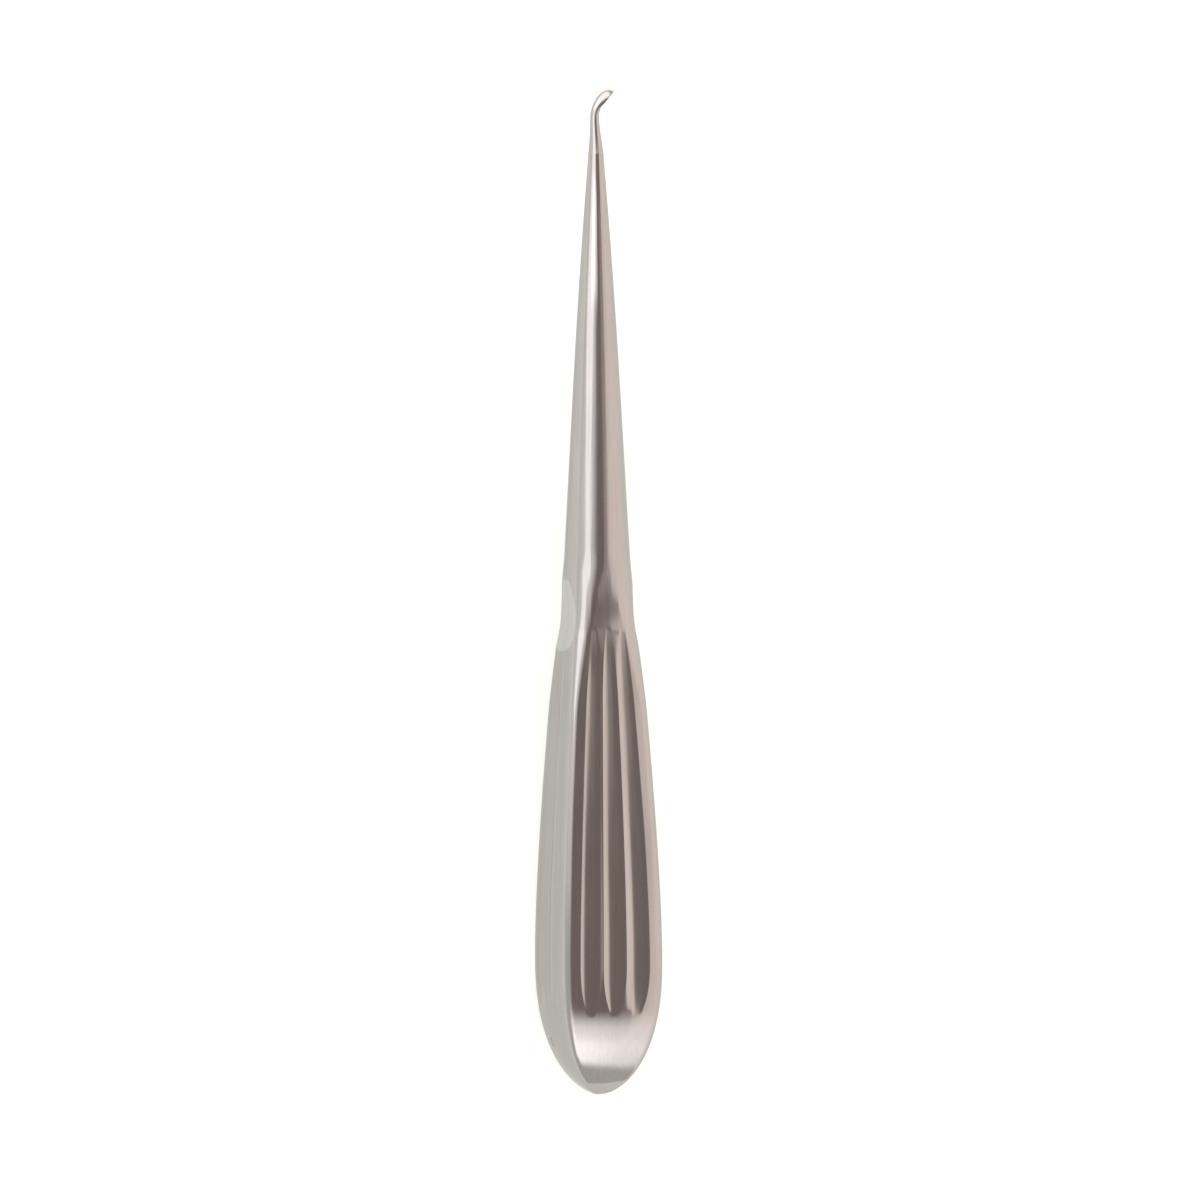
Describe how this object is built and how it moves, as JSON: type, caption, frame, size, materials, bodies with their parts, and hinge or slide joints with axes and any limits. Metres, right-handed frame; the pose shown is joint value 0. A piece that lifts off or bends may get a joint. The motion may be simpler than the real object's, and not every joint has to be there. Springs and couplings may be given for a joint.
{
  "type": "dental elevator",
  "caption": "Dental hand instrument: hollow fluted handle, long tapered shank and a small bent spoon tip for lifting out root tips and scraping sockets.",
  "frame": {"origin": "under the middle of the object's box, at the level of the handle's lowest lands, which the instrument lies on", "axes": "+Y along the instrument's long axis, from the butt to the tip; +Z out of the handle's front face; +X towards the side the tip bends to"},
  "size_m": [0.0184, 0.17, 0.0184],
  "materials": {
    "satin_steel": "satin stainless steel, finely brushed along the length",
    "polished_steel": "polished stainless steel",
    "weld_steel": "weld and braze metal, ground flush and brushed with the steel beside it"
  },
  "bodies": {
    "root": {"working_tip": "polished_steel", "tip_braze": "weld_steel", "shank": "satin_steel", "neck_weld": "weld_steel", "neck_bush": "satin_steel", "handle_front_shell": "satin_steel", "handle_rear_shell": "satin_steel", "seam_weld": "weld_steel", "vent_plug": "weld_steel"}
  },
  "joints": []
}
